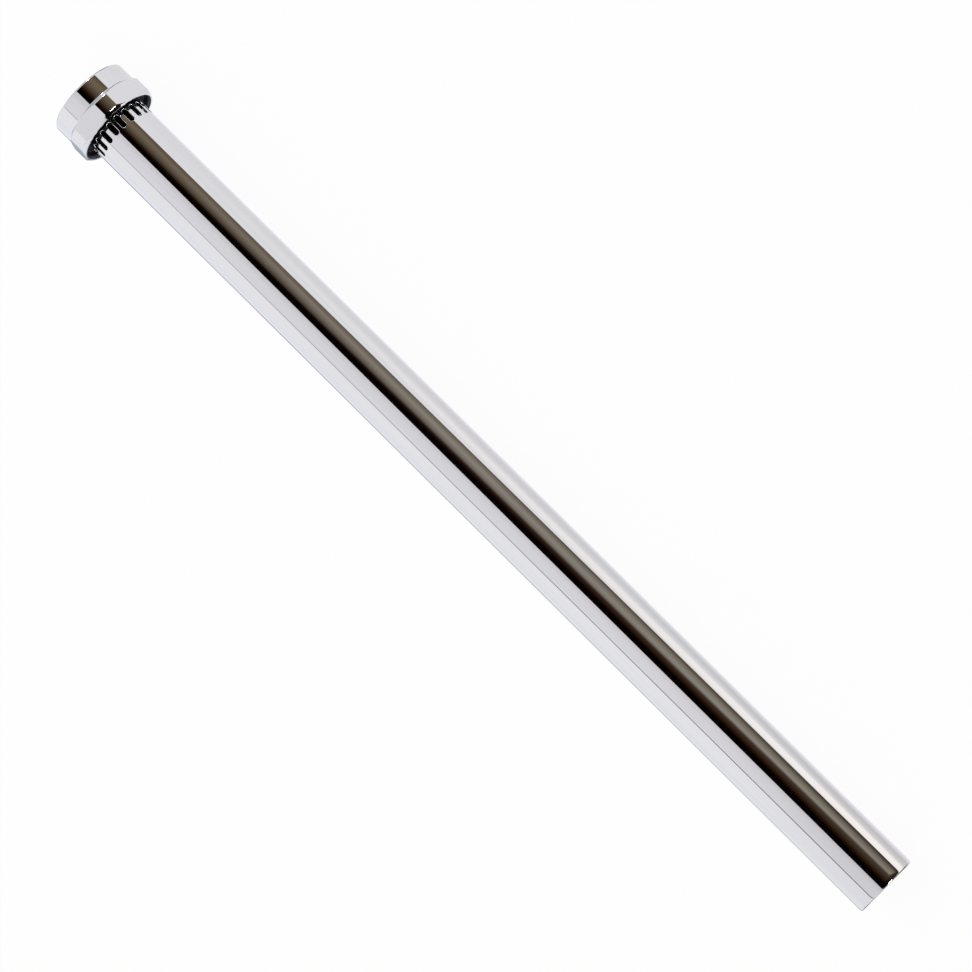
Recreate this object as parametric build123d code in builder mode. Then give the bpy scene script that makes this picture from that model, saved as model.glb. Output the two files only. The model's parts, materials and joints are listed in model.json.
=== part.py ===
from build123d import *
import os
from math import atan2, cos, degrees, radians, sin

# Straight flush pipe with a captive union nut and a ring of air slots below the nut.
# Lengths are in millimetres and angles in degrees. The pipe lies on the floor as it comes to rest,
# on one flat of the nut and on its plain end, with the nut towards +X.

# Pipe: drawn tube, plain at one end, with a rolled flange at the other
pipe_diameter = 28.0
pipe_wall = 1.0
pipe_length = 450.0
lip_radius = 0.35
flange_thickness = 1.2
flange_root_radius = 0.4

# Air slots: a ring of round-ended holes through the pipe's wall
slot_count = 20
slot_width = 2.8
slot_length = 7.0
slot_drop = 10.3
slot_turn = 12.5

# Union nut: turned bar with six milled flats, a round collar above them and a hollow skirt below.
# A shoulder slopes from the flats down to the collar.
nut_height = 18.6
nut_turned_diameter = 40.0
nut_across_flats = 37.5
spanner_height = 8.3
spanner_edge_radius = 1.0
shoulder_length = 1.2
rim_diameter = 37.3
rim_bevel = 1.45
collar_diameter = 37.0
collar_edge_radius = 1.0
collar_root_radius = 0.8
skirt_bore = 34.8
skirt_depth = 4.0
skirt_mouth_flare = 0.7
skirt_mouth_depth = 1.4
web_thickness = 2.0
thread_bore = 30.291
thread_lead_in = 1.4
thread_relief = 33.7

# Jet insert: moulded nozzle, hung in a turned seat in the top of the pipe, that carries water past the slots
insert_seat_cut = 0.3
insert_seat_below = 1.0
insert_flange_thickness = 1.2
insert_wall = 1.5
insert_sleeve_length = 4.0
insert_taper_length = 4.0
nozzle_bore = 15.0
nozzle_length = 8.0

# Sealing washer on top of the insert's flange
washer_bore = 22.0
washer_thickness = 2.0
washer_edge_radius = 0.3

# Clearances, all on the radius or along the axis
flange_clearance = 0.15
web_clearance = 0.6
nut_end_float = 0.2
insert_clearance = 0.15
washer_clearance = 0.1
thread_to_washer = 0.4

# Radii
pipe_radius = pipe_diameter / 2
bore_radius = pipe_radius - pipe_wall
thread_radius = thread_bore / 2
flange_radius = thread_radius - flange_clearance
web_radius = pipe_radius + web_clearance
turned_radius = nut_turned_diameter / 2
flat_radius = nut_across_flats / 2
rim_radius = rim_diameter / 2
collar_radius = collar_diameter / 2
skirt_radius = skirt_bore / 2
mouth_radius = skirt_radius + skirt_mouth_flare
relief_radius = thread_relief / 2
washer_radius = flange_radius - washer_clearance
seat_radius = bore_radius + insert_seat_cut
sleeve_radius = seat_radius - insert_clearance
nozzle_radius = nozzle_bore / 2

# Stations along the pipe, from its plain end
flange_under = pipe_length - flange_thickness
slot_station = pipe_length - slot_drop
web_top = flange_under - nut_end_float
web_under = web_top - web_thickness
nut_under = web_under - skirt_depth
spanner_top = nut_under + spanner_height
collar_under = spanner_top + shoulder_length
nut_top = nut_under + nut_height
insert_top = pipe_length + insert_flange_thickness
washer_top = insert_top + washer_thickness
thread_start = washer_top + thread_to_washer
sleeve_under = pipe_length - insert_sleeve_length
nozzle_top = sleeve_under - insert_taper_length
nozzle_under = nozzle_top - nozzle_length
seat_under = nozzle_under - insert_seat_below

# How it lies: the lip of the plain end and the lower edge of one flat touch the floor
bevel_slope = rim_bevel / (turned_radius - rim_radius)
flat_edge = nut_under + max(flat_radius - rim_radius, 0) * bevel_slope
rest_tilt = degrees(atan2(flat_radius - pipe_radius, flat_edge - lip_radius))
along = Vector(cos(radians(rest_tilt)), 0, sin(radians(rest_tilt)))
upward = Vector(-along.Z, 0, along.X)
sideways = Vector(0, -1, 0)
plain_end = Vector(-nut_top / 2 * along.X, 0, pipe_radius * along.X - lip_radius * along.Z)

# Profiles are drawn on this plane as (distance along the pipe, radius) and turned about its own axis
profile_plane = Plane(origin=plain_end, x_dir=along, z_dir=sideways)
pipe_axis = Axis(plain_end, along)


def corner(profile, station, radius):
    """The corner of a profile nearest to this station and radius."""
    return profile.vertices().sort_by_distance((station, radius))[0]


def slot_plane(angle):
    """A plane on the axis at the slots that faces outwards, this far round from the top of the pipe."""
    outward = upward * cos(radians(angle)) + sideways * sin(radians(angle))
    return Plane(origin=plain_end + along * slot_station, x_dir=along, z_dir=outward)


with BuildPart() as flush_pipe:
    with BuildSketch(profile_plane) as tube:
        with BuildLine():
            Polyline(
                (0, bore_radius),
                (0, pipe_radius),
                (flange_under, pipe_radius),
                (flange_under, flange_radius),
                (pipe_length, flange_radius),
                (pipe_length, seat_radius),
                (seat_under, seat_radius),
                (seat_under, bore_radius),
                close=True,
            )
        make_face()
        fillet(corner(tube, 0, pipe_radius), lip_radius)
        fillet(corner(tube, flange_under, pipe_radius), flange_root_radius)
    revolve(axis=pipe_axis)
    for slot in range(slot_count):
        with BuildSketch(slot_plane(slot_turn + slot * 360 / slot_count)):
            SlotOverall(slot_length, slot_width)
        extrude(amount=pipe_diameter, mode=Mode.SUBTRACT)
flush_pipe.part.label = "flush_pipe"

with BuildPart() as union_nut:
    with BuildSketch(profile_plane) as turning:
        with BuildLine():
            Polyline(
                (nut_under, mouth_radius),
                (nut_under, rim_radius),
                (nut_under + rim_bevel, turned_radius),
                (spanner_top, turned_radius),
                (collar_under, collar_radius),
                (nut_top, collar_radius),
                (nut_top, thread_radius + thread_lead_in),
                (nut_top - thread_lead_in, thread_radius),
                (thread_start, thread_radius),
                (thread_start, relief_radius),
                (web_top, relief_radius),
                (web_top, web_radius),
                (web_under, web_radius),
                (web_under, skirt_radius),
                (nut_under + skirt_mouth_depth, skirt_radius),
                close=True,
            )
        make_face()
        fillet(corner(turning, nut_top, collar_radius), collar_edge_radius)
        fillet(corner(turning, collar_under, collar_radius), collar_root_radius)
        fillet(corner(turning, spanner_top, turned_radius), spanner_edge_radius)
    revolve(axis=pipe_axis)
    # The six flats are milled into the turned bar and run out on the sloping shoulder under the collar
    with BuildSketch(Plane(origin=plain_end + along * nut_under, x_dir=-sideways, z_dir=along)):
        Circle(nut_turned_diameter)
        RegularPolygon(flat_radius, 6, major_radius=False, mode=Mode.SUBTRACT)
    extrude(amount=spanner_height + shoulder_length + collar_root_radius, mode=Mode.SUBTRACT)
union_nut.part.label = "union_nut"

with BuildPart() as jet_insert:
    with BuildSketch(profile_plane) as moulding:
        with BuildLine():
            Polyline(
                (insert_top, sleeve_radius - insert_wall),
                (insert_top, washer_radius),
                (pipe_length, washer_radius),
                (pipe_length, sleeve_radius),
                (sleeve_under, sleeve_radius),
                (nozzle_top, nozzle_radius + insert_wall),
                (nozzle_under, nozzle_radius + insert_wall),
                (nozzle_under, nozzle_radius),
                (nozzle_top, nozzle_radius),
                (sleeve_under, sleeve_radius - insert_wall),
                close=True,
            )
        make_face()
    revolve(axis=pipe_axis)
jet_insert.part.label = "jet_insert"

with BuildPart() as sealing_washer:
    with BuildSketch(profile_plane) as ring:
        with BuildLine():
            Polyline(
                (insert_top, washer_bore / 2),
                (insert_top, washer_radius),
                (washer_top, washer_radius),
                (washer_top, washer_bore / 2),
                close=True,
            )
        make_face()
        fillet(ring.vertices(), washer_edge_radius)
    revolve(axis=pipe_axis)
sealing_washer.part.label = "sealing_washer"

os.makedirs("parts", exist_ok=True)
export_step(flush_pipe.part, "parts/flush_pipe.step")
export_step(union_nut.part, "parts/union_nut.step")
export_step(jet_insert.part, "parts/jet_insert.step")
export_step(sealing_washer.part, "parts/sealing_washer.step")

print(f"rest tilt {rest_tilt:.4f} degrees, axis {plain_end.Z:.3f} mm above the floor at the plain end")
print(f"nut {nut_under:.2f} to {nut_top:.2f}, thread from {thread_start:.2f} mm along the pipe")
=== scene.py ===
# %% [markdown]
# # A chrome flush pipe and its union nut
# A flush pipe carries water from a flush valve down to the pan. This one is a straight brass tube in
# bright chrome plate. A loose nut at one end screws it to the valve, and a ring of slots below the nut
# lets in air. The CAD model has settled every size and place already, so we load it first and note how
# big it is. Then we build finer meshes over it, give them their finishes, and light them as a
# photographer would.

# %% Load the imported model
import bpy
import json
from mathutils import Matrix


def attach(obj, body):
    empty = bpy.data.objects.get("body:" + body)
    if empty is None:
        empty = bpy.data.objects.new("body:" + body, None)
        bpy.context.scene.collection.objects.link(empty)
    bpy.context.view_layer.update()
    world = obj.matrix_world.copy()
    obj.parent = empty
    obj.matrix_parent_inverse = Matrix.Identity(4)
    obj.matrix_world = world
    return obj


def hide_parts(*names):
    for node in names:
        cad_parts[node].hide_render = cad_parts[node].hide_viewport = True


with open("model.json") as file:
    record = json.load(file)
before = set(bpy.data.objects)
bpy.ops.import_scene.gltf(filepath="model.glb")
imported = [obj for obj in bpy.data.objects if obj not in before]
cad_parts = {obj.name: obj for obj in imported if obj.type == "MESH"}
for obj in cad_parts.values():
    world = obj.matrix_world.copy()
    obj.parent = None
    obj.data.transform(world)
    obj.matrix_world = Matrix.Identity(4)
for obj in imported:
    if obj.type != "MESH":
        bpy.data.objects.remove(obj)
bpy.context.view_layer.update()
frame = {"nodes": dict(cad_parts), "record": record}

# %% [markdown]
# ## Find the pipe's own axis
# The pipe lies on the floor, on its plain end and on one flat of the nut, so its axis rises a little
# towards the nut. We don't type that slope in again. The record's mounts say where the axis is, and the
# vertices of the CAD nodes say how far along it each piece reaches. From then on a point is given as a
# drawing gives it: a station along the pipe from the plain end, a radius, and an angle from the top
# towards the front.

# %% Read the axis and the stations
import json
import bpy
import bmesh
from math import acos, asin, cos, pi, radians, sin, tan
from mathutils import Matrix, Vector

MM = 0.001
mounts = {mount["name"]: mount for mount in frame["record"]["mounts"]}
along = Vector(mounts["valve_thread"]["axis"]).normalized()
sideways = Vector((0, -1, 0))
upward = sideways.cross(along)
on_axis = Vector(mounts["pan_spigot"]["pos_m"])


def reach(node):
    """The first and last station of a CAD node along the axis, in metres from a known point on it."""
    stations = [(vertex.co - on_axis).dot(along) for vertex in frame["nodes"][node].data.vertices]
    return min(stations), max(stations)


def place(station, radius, angle):
    """The point at this station and radius, both in millimetres, and this angle from the top."""
    outward = upward * cos(angle) + sideways * sin(angle)
    return plain_end + (along * station + outward * radius) * MM


plain_end = on_axis + along * reach("flush_pipe")[0]
pipe_length = (reach("flush_pipe")[1] - reach("flush_pipe")[0]) / MM
nut_under, nut_top = [((on_axis - plain_end).dot(along) + station) / MM for station in reach("union_nut")]
print(f"pipe {pipe_length:.2f} mm long, nut from {nut_under:.2f} to {nut_top:.2f} mm")

# %% [markdown]
# ## Put up the camera
# The photograph was taken from above the plain end, with a long lens, and the pipe runs from the upper
# left to the lower right. So the camera stands about 1.4 m over the plain end, leans a little to the
# front, looks at the middle of the pipe, and is rolled by nearly half a right angle. A long lens keeps
# the two sides of the pipe almost parallel, as they are in the photograph.

# %% Camera
scene = bpy.context.scene
scene.view_settings.view_transform = "Standard"
lean = radians(22.4)
roll = radians(44.7)
# The distance is in metres. The aim is in millimetres, along the pipe's axis and beside it
camera_distance = 1.388
aim_station = 226.7
aim_beside = 1.2
focal_length = 128.5
stand = plain_end + (upward * cos(lean) + sideways * sin(lean)) * camera_distance


def sight(target):
    """The directions into the picture, down the pipe and across it, for a camera aimed at this point."""
    look = (target - stand).normalized()
    down_pipe = (look * along.dot(look) - along).normalized()
    return look, down_pipe, down_pipe.cross(look)


middle = place(aim_station, 0, 0)
across = sight(middle)[2]
look, down_pipe, across = sight(middle + across * aim_beside * MM)
right = down_pipe * cos(roll) + across * sin(roll)
top = across * cos(roll) - down_pipe * sin(roll)

camera = bpy.data.objects.new("camera", bpy.data.cameras.new("camera"))
scene.collection.objects.link(camera)
camera.data.lens = focal_length
camera.data.clip_end = 20
camera.matrix_world = Matrix.Translation(stand) @ Matrix((right, top, -look)).transposed().to_4x4()
scene.camera = camera
print("camera at", [round(value, 3) for value in stand])

# %% [markdown]
# ## Skins made of rows
# Every piece here is turned on a lathe or drawn through a ring, so one idea makes them all: a row of
# points that closes on itself, and quads from each row to the next. Real edges are never sharp. The
# function `rounded` eases each corner of a profile with a small curve, and that narrow curve is what
# catches a line of light on polished metal.

# %% Profiles and skins
# One corner's easing may take up to this share of each edge beside it
corner_share = 0.45
# Points that lie closer than this, in millimetres, are one point
weld_distance = 0.002


def rounded(corners, steps=4):
    """A profile with eased corners. Each corner is (station, radius, size of the easing)."""
    points = []
    for i, (station, radius, ease) in enumerate(corners):
        here = Vector((station, radius))
        before = Vector(corners[i - 1][:2]) - here
        after = Vector(corners[(i + 1) % len(corners)][:2]) - here
        if ease == 0:
            points.append((station, radius))
            continue
        cut = ease * tan((pi - before.angle(after)) / 2)
        cut = min(cut, corner_share * before.length, corner_share * after.length)
        start, end = here + before.normalized() * cut, here + after.normalized() * cut
        for k in range(steps + 1):
            bend = start.lerp(here, k / steps).lerp(here.lerp(end, k / steps), k / steps)
            points.append((bend.x, bend.y))
    return points


def skin(rows, wrap=False):
    """Vertices and quads between closed rows of points. With wrap, the last row joins the first."""
    count = len(rows[0])
    vertices = [point for row in rows for point in row]
    faces = []
    for r in range(len(rows) if wrap else len(rows) - 1):
        here, there = r * count, (r + 1) % len(rows) * count
        for p in range(count):
            q = (p + 1) % count
            faces.append((here + p, here + q, there + q, there + p))
    return vertices, faces


def make_piece(name, skins):
    """One smooth object from several skins, welded where they meet."""
    vertices, faces = [], []
    for skin_vertices, skin_faces in skins:
        start = len(vertices)
        vertices += skin_vertices
        faces += [tuple(start + index for index in face) for face in skin_faces]
    mesh = bpy.data.meshes.new(name)
    mesh.from_pydata(vertices, [], faces)
    editor = bmesh.new()
    editor.from_mesh(mesh)
    bmesh.ops.remove_doubles(editor, verts=editor.verts, dist=weld_distance * MM)
    bmesh.ops.recalc_face_normals(editor, faces=editor.faces)
    editor.to_mesh(mesh)
    editor.free()
    mesh.shade_smooth()
    piece = bpy.data.objects.new(name, mesh)
    scene.collection.objects.link(piece)
    piece.modifiers.new("true_normals", "WEIGHTED_NORMAL").weight = 100
    print(name, len(mesh.polygons), "faces")
    return piece

# %% [markdown]
# ## The pipe
# The tube is drawn brass, and its upper end is rolled out into a small flange that keeps the nut on. We
# make two skins of rings: one runs down the outside, round the lip of the plain end and back up the
# bore, and the other goes round the flange. Between them is a gap, which the next cell fills with the
# slots.

# %% Pipe below and above the slots
pipe_radius = mounts["pan_spigot"]["dims"]["r_mm"]
bore_radius = mounts["outlet_bore"]["dims"]["r_mm"]
seat_under = mounts["outlet_bore"]["dims"]["length_mm"]
thread_radius = mounts["valve_thread"]["dims"]["r_mm"]
seat_cut = 0.3
flange_clearance = 0.15
flange_thickness = 1.2
slot_count = 20
slot_turn = radians(12.5)
slot_drop = 10.3
slot_zone = 10.2
steps_across = 16
outside_rings = 36
inside_rings = 12
# The lip of the plain end: station, depth below the pipe's outside, and size of the easing
lip = [(1.8, 0.0, 10.0), (0.35, 0.16, 0.8), (0.0, 0.55, 0.3)]

seat_radius = bore_radius + seat_cut
flange_radius = thread_radius - flange_clearance
flange_under = pipe_length - flange_thickness
slot_station = pipe_length - slot_drop
zone_low = slot_station - slot_zone / 2
zone_high = slot_station + slot_zone / 2
sector = 2 * pi / slot_count
ring_angles = [slot_turn + sector * (i / steps_across - 0.5) for i in range(slot_count * steps_across)]

outside = [(zone_low * (1 - i / outside_rings), pipe_radius, 0) for i in range(outside_rings)]
inside = [(seat_under * i / inside_rings, bore_radius, 0) for i in range(1, inside_rings)]
lower_profile = rounded(
    outside
    + [(station, pipe_radius - depth, ease) for station, depth, ease in lip]
    + [(0, bore_radius, 0.2)]
    + inside
    + [(seat_under, bore_radius, 0.1), (seat_under, seat_radius, 0.1), (zone_low, seat_radius, 0)]
)
upper_profile = rounded([
    (zone_high, seat_radius, 0),
    (pipe_length, seat_radius, 0.2),
    (pipe_length, flange_radius, 0.4),
    (flange_under, flange_radius, 0.3),
    (flange_under, pipe_radius, 0.4),
    (zone_high, pipe_radius, 0),
])
lower_skin, upper_skin = [
    skin([[place(station, radius, angle) for angle in ring_angles] for station, radius in profile])
    for profile in (lower_profile, upper_profile)
]
print(len(lower_profile), "rings below the slots,", len(upper_profile), "above")

# %% [markdown]
# ## The ring of slots
# Air is drawn in here, so that dirty water can't be sucked back. The slots are punched with round ends
# and then polished with the pipe, which leaves a soft edge. A boolean cut would leave long thin
# triangles, and chrome shows every one of them. So each slot gets its own patch of quads: loops that
# start as the edge of one sector of the pipe, shrink to the slot's outline, turn over the soft edge and
# go through the wall.

# %% Slots
slot_half = 1.15
slot_straight = 4.2
slot_edge = 0.25
edge_steps = 6
ends = 4
sides = 8
# How far each loop has come from the sector's edge to the slot, on the outside and then in the bore
outer_shares = (0, 0.3, 0.55, 0.75, 0.9)
inner_shares = (1, 0.9, 0.5, 0)


def slot_loop(grow, radius):
    """The outline of one slot, this much larger all round, on the wall at this radius."""
    turns = [225 + 90 * i / steps_across for i in range(steps_across)]
    turns += [315 + 45 * i / ends for i in range(ends)]
    low = [(-slot_straight / 2, radians(turn)) for turn in turns]
    low += [(slot_straight * (i / sides - 0.5), 0) for i in range(sides)]
    low += [(slot_straight / 2, radians(45 * i / ends)) for i in range(ends)]
    high = [(-shift, turn + pi) for shift, turn in low]
    size = slot_half + grow
    return [
        (slot_station + shift + size * sin(turn), asin(size * cos(turn) / radius))
        for shift, turn in low + high
    ]


def sector_loop():
    """The edge of one sector of the pipe, point for point against slot_loop."""
    below_slot = slot_station - slot_straight / 2 - zone_low
    lower_side = [zone_low + below_slot * i / ends for i in range(ends)]
    straight = [slot_station + slot_straight * (i / sides - 0.5) for i in range(sides)]
    upper_side = [2 * slot_station - station for station in reversed(lower_side)]
    climb = lower_side + straight + [slot_station + slot_straight / 2] + upper_side[:-1]
    low = [(zone_low, sector * (i / steps_across - 0.5)) for i in range(steps_across)]
    low += [(station, sector / 2) for station in climb]
    return low + [(2 * slot_station - station, -angle) for station, angle in low]


def slot_rows(turn):
    """The loops of one slot from the outside of the pipe to its bore, as points."""
    def loop(outer, inner, share, radius):
        """Points part of the way from the outer to the inner outline, on the wall at this radius."""
        mixed = [(a[0] + (b[0] - a[0]) * share, a[1] + (b[1] - a[1]) * share) for a, b in zip(outer, inner)]
        return [place(station, radius, turn + angle) for station, angle in mixed]

    edge = sector_loop()
    brim = slot_loop(slot_edge, pipe_radius)
    rows = [loop(edge, brim, share, pipe_radius) for share in outer_shares]
    for i in range(edge_steps + 1):
        over = pi / 2 * i / edge_steps
        radius = pipe_radius - slot_edge * (1 - cos(over))
        outline = slot_loop(slot_edge * (1 - sin(over)), radius)
        rows.append(loop(outline, outline, 0, radius))
    rows += [loop(edge, slot_loop(0, seat_radius), share, seat_radius) for share in inner_shares]
    return rows


slot_skins = [skin(slot_rows(slot_turn + sector * i)) for i in range(slot_count)]
pipe = make_piece("chrome_flush_pipe", [lower_skin, upper_skin] + slot_skins)

# %% [markdown]
# ## The union nut
# The nut is turned from brass bar. Six flats for a spanner are milled into it, and they run out on the
# slope under the collar. Below the flats is a hollow skirt, and inside the collar a pipe thread. The
# CAD has a plain bore for the thread. The other radii and stations are the CAD's own, so that the finer
# mesh keeps the nut's form.

# %% Nut: sizes
turned_radius = 20.0
flat_radius = 18.75
rim_radius = 18.65
mouth_radius = 18.1
skirt_radius = 17.4
web_clearance = 0.6
web_radius = pipe_radius + web_clearance
relief_radius = 16.85
collar_radius = 18.5
web_under = nut_under + 4.0
web_top = web_under + 2.0
mouth_top = nut_under + 1.4
bevel_top = nut_under + 1.45
spanner_top = nut_under + 8.3
collar_under = spanner_top + 1.2
thread_start = nut_under + 11.0
thread_pitch = 25.4 / 11
thread_depth = 1.479
thread_lead_in = 1.5
thread_mouth = thread_radius + thread_lead_in
bevel_slope = (bevel_top - nut_under) / (turned_radius - rim_radius)
shoulder_slope = (collar_under - spanner_top) / (turned_radius - collar_radius)
print(f"nut: {2 * flat_radius:.1f} mm across flats, thread pitch {thread_pitch:.3f} mm")

# %% [markdown]
# ## The nut's section, column by column
# We could turn the nut and cut its flats with a boolean, but that leaves thin triangles too. So we go
# round the axis in columns. Each column is the nut's whole section at that angle, and only a few of its
# points change from one column to the next: the radius of the flat or corner, the curved edge where the
# flat meets the bevel, and the thread, whose groove climbs one pitch in each turn. It is a one-inch
# pipe thread with eleven turns to the inch, and its rounded form is close to a cosine wave.

# %% Nut: section and mesh
soft_edge = 0.16
soft_cut = 0.04
thread_steps = 72
columns_on_flat = 24
columns_on_corner = 16


def outer_radius(angle):
    """The nut's radius at an angle: a flat or the turned corner, with a soft edge between them."""
    from_flat = (angle + pi / 6) % (pi / 3) - pi / 6
    flat = flat_radius / cos(from_flat)
    blend = max(soft_edge - abs(flat - turned_radius), 0) / soft_edge
    return min(flat, turned_radius) - soft_cut * blend * blend


def nut_section(angle):
    """The nut's closed section at an angle, as stations and radii."""
    radius = outer_radius(angle)
    outside = [
        (nut_under, mouth_radius, 0.12),
        (nut_under, rim_radius, 0.15),
        (nut_under + (radius - rim_radius) * bevel_slope, radius, 0.8),
        (spanner_top + (turned_radius - radius) * shoulder_slope, radius, 1.0),
        (collar_under, collar_radius, 0.8),
        (nut_top, collar_radius, 1.0),
    ]
    thread = []
    for i in range(thread_steps + 1):
        station = nut_top + (thread_start - nut_top) * i / thread_steps
        wave = 0.5 - 0.5 * cos(2 * pi * station / thread_pitch - angle)
        lead_in = thread_mouth - (nut_top - station)
        thread.append((station, max(thread_radius + thread_depth * wave, lead_in), 0))
    inside = [
        (thread_start, relief_radius, 0.1),
        (web_top, relief_radius, 0.4),
        (web_top, web_radius, 0.15),
        (web_under, web_radius, 0.15),
        (web_under, skirt_radius, 0.5),
        (mouth_top, skirt_radius, 0.3),
    ]
    return rounded(outside + thread + inside, steps=8)


flat_half = acos(flat_radius / turned_radius)
stretches = [(-flat_half, flat_half, columns_on_flat), (flat_half, pi / 3 - flat_half, columns_on_corner)]
nut_angles = [
    pi / 3 * side + start + (end - start) * (0.5 - 0.5 * cos(pi * i / count))
    for side in range(6)
    for start, end, count in stretches
    for i in range(count)
]
nut_rows = [
    [place(station, radius, angle) for station, radius in nut_section(angle)] for angle in nut_angles
]
nut = make_piece("chrome_union_nut", [skin(nut_rows, wrap=True)])

# %% [markdown]
# ## The jet insert and the washer
# These two sit inside the nut, so the photograph doesn't show them. The insert is a black plastic
# nozzle that shoots the water past the slots, and the washer on its flange seals the joint. Both are
# plain rings, so one profile and one turn make each of them.

# %% Insert and washer
def lathe(profile, count=120):
    """A closed profile turned all the way round the pipe's axis."""
    angles = [2 * pi * i / count for i in range(count)]
    rows = [[place(station, radius, angle) for station, radius in profile] for angle in angles]
    return skin(rows, wrap=True)


insert_wall = 1.5
insert_clearance = 0.15
insert_flange = 1.2
sleeve_length = 4.0
taper_length = 4.0
nozzle_length = 8.0
nozzle_radius = 7.5
washer_clearance = 0.1
washer_thickness = 2.0
washer_hole = 11.0
washer_radius = flange_radius - washer_clearance
sleeve_radius = seat_radius - insert_clearance
insert_top = pipe_length + insert_flange
washer_top = insert_top + washer_thickness
sleeve_under = pipe_length - sleeve_length
nozzle_top = sleeve_under - taper_length
nozzle_under = nozzle_top - nozzle_length
insert = make_piece("plastic_jet_insert", [lathe(rounded([
    (insert_top, sleeve_radius - insert_wall, 0.3),
    (insert_top, washer_radius, 0.25),
    (pipe_length, washer_radius, 0.2),
    (pipe_length, sleeve_radius, 0.1),
    (sleeve_under, sleeve_radius, 0.4),
    (nozzle_top, nozzle_radius + insert_wall, 0.8),
    (nozzle_under, nozzle_radius + insert_wall, 0.3),
    (nozzle_under, nozzle_radius, 0.2),
    (nozzle_top, nozzle_radius, 1.0),
    (sleeve_under, sleeve_radius - insert_wall, 1.0),
]))])
washer = make_piece("rubber_washer", [lathe(rounded([
    (insert_top, washer_hole, 0.3),
    (insert_top, washer_radius, 0.3),
    (washer_top, washer_radius, 0.3),
    (washer_top, washer_hole, 0.3),
]))])

# %% [markdown]
# ## One function for nodes
# A material is a small graph. This function adds one node, sets its properties, and fills or links its
# inputs, so that each line below reads as one box of that graph. Colours are easier to think of as they
# look on a screen, and Blender wants them linear, so a second function turns a hex colour into linear
# light.

# %% Node and colour helpers
def add_node(tree, kind, inputs=None, stops=(), **settings):
    """Adds a node. Inputs are values or other nodes' outputs; stops are the colours of a ramp."""
    made = tree.nodes.new(kind)
    for name, value in settings.items():
        setattr(made, name, value)
    for socket, value in (inputs or {}).items():
        if isinstance(value, bpy.types.NodeSocket):
            tree.links.new(value, made.inputs[socket])
        else:
            made.inputs[socket].default_value = value
    for i, (position, colour) in enumerate(stops):
        if i < 2:
            made.color_ramp.elements[i].position = position
            made.color_ramp.elements[i].color = colour
        else:
            made.color_ramp.elements.new(position).color = colour
    return made


def linear(hex_colour, alpha=1.0):
    """A hex colour as Blender's linear red, green, blue and alpha."""
    values = [int(hex_colour[i:i + 2], 16) / 255 for i in (0, 2, 4)]
    return [v / 12.92 if v <= 0.04045 else ((v + 0.055) / 1.055) ** 2.4 for v in values] + [alpha]


def new_tree(name):
    """An empty material and its node tree."""
    material = bpy.data.materials.new(name)
    material.use_nodes = True
    material.node_tree.nodes.clear()
    return material, material.node_tree


print("white is", linear("FFFFFF"), "and middle grey", [round(value, 3) for value in linear("808080")])

# %% [markdown]
# ## Bright chrome plate
# Chrome plate is a mirror with a faint blue cast. It has no colour of its own to speak of, so nearly
# all of its look comes from the room. Two things keep it from looking like a computer's mirror:
# polishing leaves hair-fine lines that make some streaks a little softer than others, and a few specks
# of dust lie on it, which show only against a dark reflection. On the pipe the lines run lengthwise and
# on the nut round the axis.

# %% Chrome
# Real dust is finer than a pixel, so the specks are drawn about 0.3 mm wide, one for each cell of this size
dust_cell = 7


def chrome(name, line_sizes):
    """Chrome plate whose polishing lines have these sizes along x, y and z, in millimetres."""
    material, tree = new_tree(name)
    surface = add_node(tree, "ShaderNodeTexCoord")
    drawn = add_node(tree, "ShaderNodeMapping", {
        "Vector": surface.outputs["Object"], "Scale": [1 / (size * MM) for size in line_sizes]})
    lines = add_node(tree, "ShaderNodeTexNoise", {"Vector": drawn.outputs[0], "Scale": 1.0, "Detail": 2.0})
    # A very low roughness keeps reflections crisp; the lines lift it a little, so some streaks look softer
    softness = add_node(tree, "ShaderNodeMapRange", {
        "Value": lines.outputs[0], "From Min": 0.3, "From Max": 0.7, "To Min": 0.03, "To Max": 0.055})
    tone = add_node(tree, "ShaderNodeMix", {
        "Factor": lines.outputs[0], "A": linear("E2E2E4"), "B": linear("E8E8EA")}, data_type="RGBA")
    cells = add_node(tree, "ShaderNodeTexVoronoi", {
        "Vector": surface.outputs["Object"], "Scale": 1 / (dust_cell * MM)})
    speck = add_node(tree, "ShaderNodeMapRange", {
        "Value": cells.outputs["Distance"], "From Min": 0.018, "From Max": 0.03,
        "To Min": 0.35, "To Max": 0.0})
    dusty = add_node(tree, "ShaderNodeMix", {
        "Factor": speck.outputs[0], "A": tone.outputs["Result"], "B": linear("D8D4CC")}, data_type="RGBA")
    bare = add_node(tree, "ShaderNodeMath", {0: 1.0, 1: speck.outputs[0]}, operation="SUBTRACT")
    shader = add_node(tree, "ShaderNodeBsdfPrincipled", {
        "Base Color": dusty.outputs["Result"], "Metallic": bare.outputs[0],
        "Roughness": softness.outputs[0]})
    add_node(tree, "ShaderNodeOutputMaterial", {"Surface": shader.outputs[0]})
    return material


pipe_chrome = chrome("bright_chrome_on_drawn_brass", (60, 0.8, 0.8))
nut_chrome = chrome("bright_chrome_on_turned_brass", (0.5, 20, 20))
print("made", pipe_chrome.name, "and", nut_chrome.name)
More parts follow.
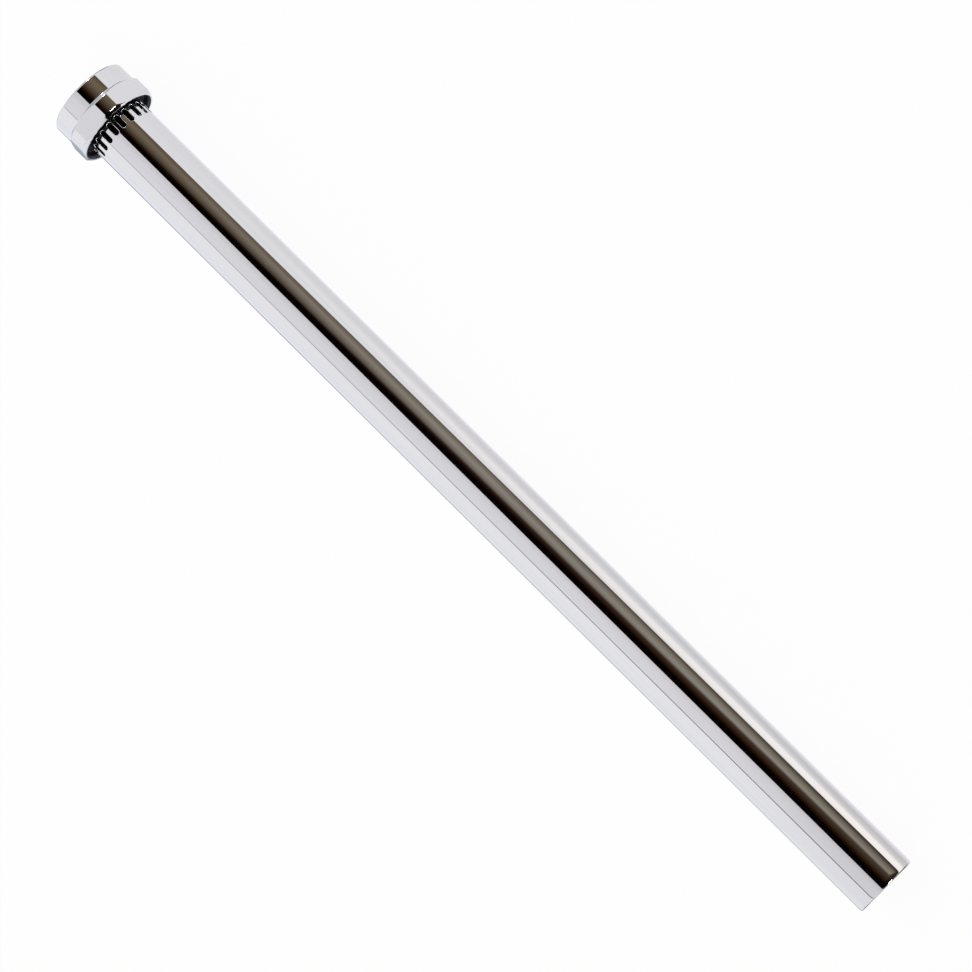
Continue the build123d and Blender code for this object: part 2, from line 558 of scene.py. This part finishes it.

# %% [markdown]
# ## Inside and unseen: brass, plastic, rubber
# Plating hardly reaches into a tube, so the bore and the thread stay dull brass. The nut's skirt is
# plated, but no polishing wheel fits in there, so its plate is rougher and is also painted dark grey, as
# painted shade inside the skirt. The insert is moulded black plastic, painted blacker still and with its
# shine almost taken away, as painted shade in the slots. The washer is matt rubber with a dusty bloom.
# Each has a noise pattern of its own size, because no real surface is one even colour.

# %% Brass, plastic and rubber
def speckled(name, colours, roughness, grain, metallic=0.0, ior=1.5, shine=0.5):
    """A material that drifts between two colours and two roughnesses, in patches this many mm wide."""
    material, tree = new_tree(name)
    surface = add_node(tree, "ShaderNodeTexCoord")
    patches = add_node(tree, "ShaderNodeTexNoise", {
        "Vector": surface.outputs["Object"], "Scale": 1 / (grain * MM), "Detail": 4.0})
    tone = add_node(tree, "ShaderNodeMix", {
        "Factor": patches.outputs[0], "A": linear(colours[0]), "B": linear(colours[1])}, data_type="RGBA")
    softness = add_node(tree, "ShaderNodeMapRange", {
        "Value": patches.outputs[0], "From Min": 0.3, "From Max": 0.7,
        "To Min": roughness[0], "To Max": roughness[1]})
    shader = add_node(tree, "ShaderNodeBsdfPrincipled", {
        "Base Color": tone.outputs["Result"], "Roughness": softness.outputs[0],
        "Metallic": metallic, "IOR": ior, "Specular IOR Level": shine})
    add_node(tree, "ShaderNodeOutputMaterial", {"Surface": shader.outputs[0]})
    return material


# Brass a few months old: yellow under a thin brown oxide that isn't metal, and too rough to mirror much
brass = speckled("dull_brass", ("75623A", "9A854F"), (0.4, 0.55), 6, metallic=0.8)
# Plating that no wheel has polished, with a blurred sheen. Its dark grey is painted shade inside the skirt
dull_plate_painted_dark = speckled("unpolished_plate_painted_dark_in_the_nut", ("3A3B3F", "515257"), (0.35, 0.5), 3, metallic=1.0)
# Acetal plastic: black from soot and matt from the mould. It is painted blacker still, and its shine is
# almost taken away, as painted shade in the slots
acetal_painted_darker = speckled("black_acetal_painted_darker", ("040404", "070707"), (0.6, 0.75), 1.5, ior=1.48, shine=0.03)
# EPDM rubber: hardly any sheen, with a grey bloom
rubber = speckled("matt_black_epdm_rubber", ("1A1A1A", "262524"), (0.75, 0.9), 0.8, ior=1.52)
print("made", brass.name, dull_plate_painted_dark.name, acetal_painted_darker.name, rubber.name)

# %% [markdown]
# ## Dress the pieces
# Each piece now gets its finish, and it rides on the CAD body that it belongs to, so that it moves when
# the joint does. It stands for its CAD node, which is no longer shown. Faces deep inside get the duller
# finishes, and inside the nut's skirt a plate painted dark as painted shade.

# %% Finish, body and node of each piece
def dress(piece, materials, body, node):
    """Gives a piece its materials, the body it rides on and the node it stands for."""
    for material in materials:
        piece.data.materials.append(material)
    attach(piece, body)
    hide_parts(node)


def finish_inside(piece, finish, first_station, last_station, radius):
    """Gives a piece's numbered material to its faces between two stations and within a radius."""
    count = 0
    for face in piece.data.polygons:
        station = (face.center - plain_end).dot(along)
        off_axis = (face.center - plain_end - along * station).length
        if first_station < station / MM < last_station and off_axis < radius * MM:
            face.material_index = finish
            count += 1
    print(piece.name, count, "faces are", piece.data.materials[finish].name)


dress(pipe, [pipe_chrome, brass], "pipe", "flush_pipe")
dress(nut, [nut_chrome, dull_plate_painted_dark, brass], "nut", "union_nut")
dress(insert, [acetal_painted_darker], "pipe", "jet_insert")
dress(washer, [rubber], "pipe", "sealing_washer")
# Bright plate goes a millimetre into the pipe and the thread, and polish just over the skirt's rim
plated_in = 1.0
polished_in = 0.3
web_lip = 0.5
bore_limit = seat_radius + 0.1
finish_inside(pipe, 1, plated_in, flange_under, bore_limit)
# Inside the skirt, the plate painted dark as painted shade
finish_inside(nut, 1, nut_under + polished_in, web_under + web_lip, mouth_radius)
finish_inside(nut, 2, web_under + web_lip, nut_top - plated_in, skirt_radius)

# %% [markdown]
# ## The floor
# The photograph has a white ground. A sheet of white paper that is lit at a plain level comes out a
# little grey, and a later cell helps it. Here we lay out the sheet, far larger than the picture, and
# give it a matt surface with the faint grain of paper.

# %% Floor: the sheet
half_sheet = 6
floor_mesh = bpy.data.meshes.new("floor")
sheet_corners = [(x * half_sheet, y * half_sheet, 0) for x, y in ((-1, -1), (1, -1), (1, 1), (-1, 1))]
floor_mesh.from_pydata(sheet_corners, [], [(0, 1, 2, 3)])
floor = bpy.data.objects.new("floor", floor_mesh)
scene.collection.objects.link(floor)
paper, tree = new_tree("white_paper_sweep")
sheet = add_node(tree, "ShaderNodeTexCoord")
# Paper fibres are finer than a pixel, so their grain is drawn 2 mm wide
fibres = add_node(tree, "ShaderNodeTexNoise", {"Vector": sheet.outputs["Object"], "Scale": 1 / (2 * MM)})
shade = add_node(tree, "ShaderNodeMix", {
    "Factor": fibres.outputs[0], "A": linear("F7F7F8"), "B": linear("FAFAFA")}, data_type="RGBA")
matt = add_node(tree, "ShaderNodeBsdfDiffuse", {"Color": shade.outputs["Result"]})
print("floor of", floor.dimensions.x, "m")

# %% [markdown]
# ## What the chrome sees of the floor
# A curved mirror shows the floor beside it, so here the sheet gets painted light and shade that only
# the chrome sees. By the plain end it is painted bright in front of the pipe, with a soft grey stripe
# of painted shadow close by on each side. By the nut it is painted dimmer, as if the light fell off
# there, with a darker stripe of painted shadow behind the pipe. Past each end a round dark card is
# painted into the floor for reflections alone, as photographers use a card to draw a thin line along
# the rim of a shiny thing.

# %% Floor: tones and cards
spot = add_node(tree, "ShaderNodeSeparateXYZ", {0: sheet.outputs["Object"]})
to_back = add_node(tree, "ShaderNodeMapRange", {
    "Value": spot.outputs["Y"], "From Min": -110 * MM, "From Max": 80 * MM})
# Painted light and shade by the plain end: bright in front, and painted shadow stripes beside the pipe
painted_shade_by_plain_end = add_node(tree, "ShaderNodeValToRGB", {"Fac": to_back.outputs[0]}, [
    (0.2, linear("FDF7F1")),
    (0.35, linear("CFCCCD")),
    (0.44, linear("BEBBBD")),
    (0.52, linear("F2F2F6")),
    (0.67, linear("F2F2F6")),
    (0.7, linear("A8B4C6")),
    (0.76, linear("B8C2D0")),
    (0.8, linear("E3E3E4")),
])
# Painted light and shade by the nut: dimmer in front, and a dark painted shadow stripe behind the pipe
painted_shade_by_nut = add_node(tree, "ShaderNodeValToRGB", {"Fac": to_back.outputs[0]}, [
    (0.0, linear("DCDBDD")),
    (0.47, linear("DADADC")),
    (0.52, linear("ECEEF6")),
    (0.66, linear("ECEEF6")),
    (0.7, linear("6E7887")),
    (0.77, linear("7B8492")),
    (0.81, linear("E3E5EC")),
])
# The painted light fades from the plain end towards the nut
to_nut = add_node(tree, "ShaderNodeMapRange", {
    "Value": spot.outputs["X"], "From Min": -220 * MM, "From Max": 200 * MM})
tones = add_node(tree, "ShaderNodeMix", {
    "Factor": to_nut.outputs[0], "A": painted_shade_by_plain_end.outputs[0], "B": painted_shade_by_nut.outputs[0]}, data_type="RGBA")
# Two dark cards painted into the floor's tones, which reflections alone see
card_radius = 98 * MM
card_blur = 10 * MM
for card_x, card_colour in ((-339 * MM, "211C18"), (350 * MM, "2F3E58")):
    from_card = add_node(tree, "ShaderNodeVectorMath", {
        0: sheet.outputs["Object"], 1: (card_x, 0, 0)}, operation="DISTANCE")
    on_card = add_node(tree, "ShaderNodeMapRange", {
        "Value": from_card.outputs["Value"], "From Min": card_radius + card_blur, "From Max": card_radius})
    tones = add_node(tree, "ShaderNodeMix", {
        "Factor": on_card.outputs[0], "A": tones.outputs["Result"], "B": linear(card_colour)},
        data_type="RGBA")
print("floor tones done,", len(tree.nodes), "nodes")

# %% [markdown]
# ## One floor for two kinds of ray
# The Light Path node says what kind of ray has met the paper. Where the camera looks at it straight,
# nearly all its light is set to white, and only a faint shadow stays. A ray that a mirror or a lens has
# sent on sees mostly the painted light and shade from the last cell. Every other ray meets plain
# matt paper.

# %% Floor: rays
# The share of the painted light and shade in what a reflection sees of the floor
painted_shade_share = 0.85
white_share = 0.95
# The floor's painted light and shade, a quarter brighter than white, for reflections
mirrored = add_node(tree, "ShaderNodeEmission", {"Color": tones.outputs["Result"], "Strength": 1.25})
white = add_node(tree, "ShaderNodeEmission", {"Color": linear("FFFFFF"), "Strength": 1.0})
ray = add_node(tree, "ShaderNodeLightPath")
bounced = add_node(tree, "ShaderNodeMath", {
    0: ray.outputs["Is Glossy Ray"], 1: ray.outputs["Is Transmission Ray"]}, operation="MAXIMUM")
in_chrome = add_node(tree, "ShaderNodeMath", {0: bounced.outputs[0], 1: painted_shade_share}, operation="MULTIPLY")
in_camera = add_node(tree, "ShaderNodeMath", {
    0: ray.outputs["Is Camera Ray"], 1: white_share}, operation="MULTIPLY")
reflected = add_node(tree, "ShaderNodeMixShader", {
    0: in_chrome.outputs[0], 1: matt.outputs[0], 2: mirrored.outputs[0]})
bright = add_node(tree, "ShaderNodeMixShader", {
    0: in_camera.outputs[0], 1: reflected.outputs[0], 2: white.outputs[0]})
add_node(tree, "ShaderNodeOutputMaterial", {"Surface": bright.outputs[0]})
floor_mesh.materials.append(paper)
print("floor done,", len(tree.nodes), "nodes")

# %% [markdown]
# ## The room that the chrome reflects
# This is the real subject of a chrome picture. Overhead hangs a pale ceiling of light. A narrow gap
# splits it, which shows as a thin dark line down the pipe. Towards the front the room is dark, and that
# is the broad dark band. The world shader paints all this by direction. Two numbers say where a
# direction points: its angle about the pipe's axis, from the top towards the front, and its share along
# the pipe. Straight over the plain end the ceiling is a little dimmer.

# %% World: directions and ceiling
world = bpy.data.worlds.new("studio_with_a_dark_side")
scene.world = world
world.use_nodes = True
tree = world.node_tree
tree.nodes.clear()
out_there = add_node(tree, "ShaderNodeTexCoord")
way = add_node(tree, "ShaderNodeSeparateXYZ", {0: out_there.outputs["Generated"]})
lengthwise = way.outputs["X"]
front = add_node(tree, "ShaderNodeMath", {0: way.outputs["Y"], 1: -1.0}, operation="MULTIPLY")
turn = add_node(tree, "ShaderNodeMath", {0: front.outputs[0], 1: way.outputs["Z"]}, operation="ARCTAN2")
degrees = add_node(tree, "ShaderNodeMath", {0: turn.outputs[0]}, operation="DEGREES").outputs[0]
round_axis = add_node(tree, "ShaderNodeMapRange", {"Value": degrees, "From Min": -180.0, "From Max": 180.0})


def at(degree):
    """Where an angle about the axis lies on a ramp that runs from -180 to 180 degrees."""
    return (degree + 180) / 360


ceiling = add_node(tree, "ShaderNodeValToRGB", {"Fac": round_axis.outputs[0]}, [
    (at(-180), linear("FBFBFE")),
    (at(-43.5), linear("FBFBFE")),
    (at(-42.5), linear("EDEDF0")),
    (at(-10), linear("E9E8EB")),
    (at(4), linear("DEDCDF")),
    (at(60), linear("F2F2F4")),
    (at(95), linear("F3F3F5")),
])
gap_angle = add_node(tree, "ShaderNodeMapRange", {
    "Value": lengthwise, "From Max": 0.13, "To Min": 40.7, "To Max": 43.2})
past_gap = add_node(tree, "ShaderNodeMath", {0: degrees, 1: gap_angle.outputs[0]}, operation="ADD")
off_gap = add_node(tree, "ShaderNodeMath", {0: past_gap.outputs[0]}, operation="ABSOLUTE")
in_gap = add_node(tree, "ShaderNodeMapRange", {
    "Value": off_gap.outputs[0], "From Min": 0.9, "From Max": 1.9, "To Min": 1.0, "To Max": 0.0})
gap_depth = add_node(tree, "ShaderNodeMapRange", {
    "Value": lengthwise, "From Min": 0.03, "From Max": 0.3, "To Min": 0.9, "To Max": 0.4})
gap = add_node(tree, "ShaderNodeMath", {
    0: in_gap.outputs[0], 1: gap_depth.outputs[0]}, operation="MULTIPLY")
over_end = add_node(tree, "ShaderNodeMapRange", {
    "Value": lengthwise, "From Max": 0.05, "To Min": 0.08, "To Max": 0.0})
dimmed = add_node(tree, "ShaderNodeMix", {
    "Factor": over_end.outputs[0], "A": ceiling.outputs[0], "B": linear("2A2B2E")}, data_type="RGBA")
split_ceiling = add_node(tree, "ShaderNodeMix", {
    "Factor": gap.outputs[0], "A": dimmed.outputs["Result"], "B": linear("2A2B2E")}, data_type="RGBA")
print("ceiling done,", len(tree.nodes), "nodes")

# %% [markdown]
# ## The dark side of the room
# Look closely at the dark band and it isn't black: it is a brown wall that climbs out of a black
# corner, and a lamp lights the wall's upper part. The edge of that light slants, so the band has a dark
# foot near the plain end. Beyond the nut the lamp's light dies away and the wall turns browner.

# %% World: dark side
unlit_wall = add_node(tree, "ShaderNodeValToRGB", {"Fac": round_axis.outputs[0]}, [
    (at(23), linear("050100")),
    (at(32), linear("27170B")),
    (at(47), linear("46382C")),
    (at(55), linear("514335")),
])
lit_wall = add_node(tree, "ShaderNodeValToRGB", {"Fac": round_axis.outputs[0]}, [
    (at(21), linear("080100")),
    (at(29), linear("2F2116")),
    (at(47), linear("837B71")),
    (at(58), linear("969186")),
    (at(74), linear("776D5E")),
    (at(86), linear("33281C")),
])
light_edge = add_node(tree, "ShaderNodeMapRange", {
    "Value": lengthwise, "From Max": 0.2, "To Min": 56.5, "To Max": 33.0}, clamp=False)
past_edge = add_node(tree, "ShaderNodeMath", {0: degrees, 1: light_edge.outputs[0]}, operation="SUBTRACT")
lit = add_node(tree, "ShaderNodeMapRange", {
    "Value": past_edge.outputs[0], "From Min": -4.0, "From Max": 4.0})
wall = add_node(tree, "ShaderNodeMix", {
    "Factor": lit.outputs[0], "A": unlit_wall.outputs[0], "B": lit_wall.outputs[0]}, data_type="RGBA")
past_lamp = add_node(tree, "ShaderNodeMapRange", {"Value": lengthwise, "From Min": 0.17, "From Max": 0.29})
brown_wall = add_node(tree, "ShaderNodeMix", {
    "Factor": past_lamp.outputs[0], "A": wall.outputs["Result"], "B": linear("CDBFAC")},
    data_type="RGBA", blend_type="MULTIPLY")
fade = add_node(tree, "ShaderNodeMapRange", {
    "Value": lengthwise, "From Min": -0.3, "From Max": -0.02, "To Min": 0.1, "To Max": 1.0})
dark_side = add_node(tree, "ShaderNodeMix", {
    "Factor": fade.outputs[0], "A": linear("050404"), "B": brown_wall.outputs["Result"]}, data_type="RGBA")
print("dark side done,", len(tree.nodes), "nodes")

# %% [markdown]
# ## Put the room together
# The dark side has four edges: one towards the top, one towards the floor, and one at each end of the
# room. The ends of the room are dim at the foot and lighter upwards, and they show in the narrow curves
# of the nut.

# %% World: edges and ends
near_edge = add_node(tree, "ShaderNodeMapRange", {
    "Value": lengthwise, "From Min": 0.14, "From Max": 0.3, "To Min": 6.6, "To Max": 10.1})
past_near = add_node(tree, "ShaderNodeMath", {0: degrees, 1: near_edge.outputs[0]}, operation="SUBTRACT")
after = add_node(tree, "ShaderNodeMapRange", {
    "Value": past_near.outputs[0], "From Min": -0.4, "From Max": 0.4})
far_edge = add_node(tree, "ShaderNodeMapRange", {
    "Value": lengthwise, "From Max": 0.27, "To Min": 88.9, "To Max": 75.1})
to_far = add_node(tree, "ShaderNodeMath", {0: far_edge.outputs[0], 1: degrees}, operation="SUBTRACT")
before = add_node(tree, "ShaderNodeMapRange", {
    "Value": to_far.outputs[0], "From Min": -0.5, "From Max": 0.5})
between = add_node(tree, "ShaderNodeMath", {
    0: after.outputs[0], 1: before.outputs[0]}, operation="MULTIPLY")
width = add_node(tree, "ShaderNodeMapRange", {
    "Value": lengthwise, "From Min": 0.47, "From Max": 0.57, "To Min": 1.0, "To Max": 0.0})
cover = add_node(tree, "ShaderNodeMath", {0: between.outputs[0], 1: width.outputs[0]}, operation="MULTIPLY")
room = add_node(tree, "ShaderNodeMix", {
    "Factor": cover.outputs[0], "A": split_ceiling.outputs["Result"], "B": dark_side.outputs["Result"]},
    data_type="RGBA")
height = add_node(tree, "ShaderNodeMapRange", {"Value": way.outputs["Z"], "From Max": 0.5})
for first, last, foot, head in ((0.84, 0.97, "5C6879", "C9CFDA"), (-0.96, -0.99, "26221E", "9A958E")):
    end_wall = add_node(tree, "ShaderNodeMix", {
        "Factor": height.outputs[0], "A": linear(foot), "B": linear(head)}, data_type="RGBA")
    at_end = add_node(tree, "ShaderNodeMapRange", {
        "Value": lengthwise, "From Min": first, "From Max": last})
    room = add_node(tree, "ShaderNodeMix", {
        "Factor": at_end.outputs[0], "A": room.outputs["Result"], "B": end_wall.outputs["Result"]},
        data_type="RGBA")
print("room done,", len(tree.nodes), "nodes")

# %% [markdown]
# ## Two round lamps in the room
# These lamps are bright enough to leave white dots on every rounded edge. A lamp in a reflection is
# only a disc in some direction, so we paint two discs, and they count in reflections alone. Where the
# camera looks past the floor, it sees plain white.

# %% World: lamps
lamp_glare = 14.0
disc_blur = 0.5
ray = add_node(tree, "ShaderNodeLightPath")
glare = 0.0
for lamp_way, lamp_size in (((-0.755, -0.495, 0.430), 9.0), ((0.67, -0.615, 0.415), 5.0)):
    towards = add_node(tree, "ShaderNodeVectorMath", {
        0: out_there.outputs["Generated"], 1: lamp_way}, operation="DOT_PRODUCT")
    disc = add_node(tree, "ShaderNodeMapRange", {
        "Value": towards.outputs["Value"], "From Min": cos(radians(lamp_size + disc_blur)),
        "From Max": cos(radians(lamp_size - disc_blur))})
    glare = add_node(tree, "ShaderNodeMath", {0: disc.outputs[0], 1: glare}, operation="ADD").outputs[0]
glint = add_node(tree, "ShaderNodeMath", {0: glare, 1: ray.outputs["Is Glossy Ray"]}, operation="MULTIPLY")
power = add_node(tree, "ShaderNodeMath", {
    0: glint.outputs[0], 1: lamp_glare, 2: 1.0}, operation="MULTIPLY_ADD")
plain_white = add_node(tree, "ShaderNodeMath", {
    0: ray.outputs["Is Camera Ray"], 1: glint.outputs[0]}, operation="MAXIMUM")
seen = add_node(tree, "ShaderNodeMix", {
    "Factor": plain_white.outputs[0], "A": room.outputs["Result"], "B": linear("FFFFFF")}, data_type="RGBA")
sky = add_node(tree, "ShaderNodeBackground", {
    "Color": seen.outputs["Result"], "Strength": power.outputs[0]})
add_node(tree, "ShaderNodeOutputWorld", {"Surface": sky.outputs[0]})
print("world done,", len(tree.nodes), "nodes")

# %% [markdown]
# ## A soft lamp
# The room alone leaves the paper light grey. A wide lamp overhead lifts it to white and draws a soft
# shadow. Chrome would mirror the lamp as a hard white square, so it is hidden from reflections.

# %% Lamp
lamp = bpy.data.objects.new("soft_lamp", bpy.data.lights.new("soft_lamp", "AREA"))
scene.collection.objects.link(lamp)
lamp.location = (0.0, 0.0, 1.6)
lamp.data.shape = "SQUARE"
lamp.data.size = 1.2
lamp.data.energy = 9.0
lamp.visible_glossy = False
print("lamp of", lamp.data.energy, "watts")
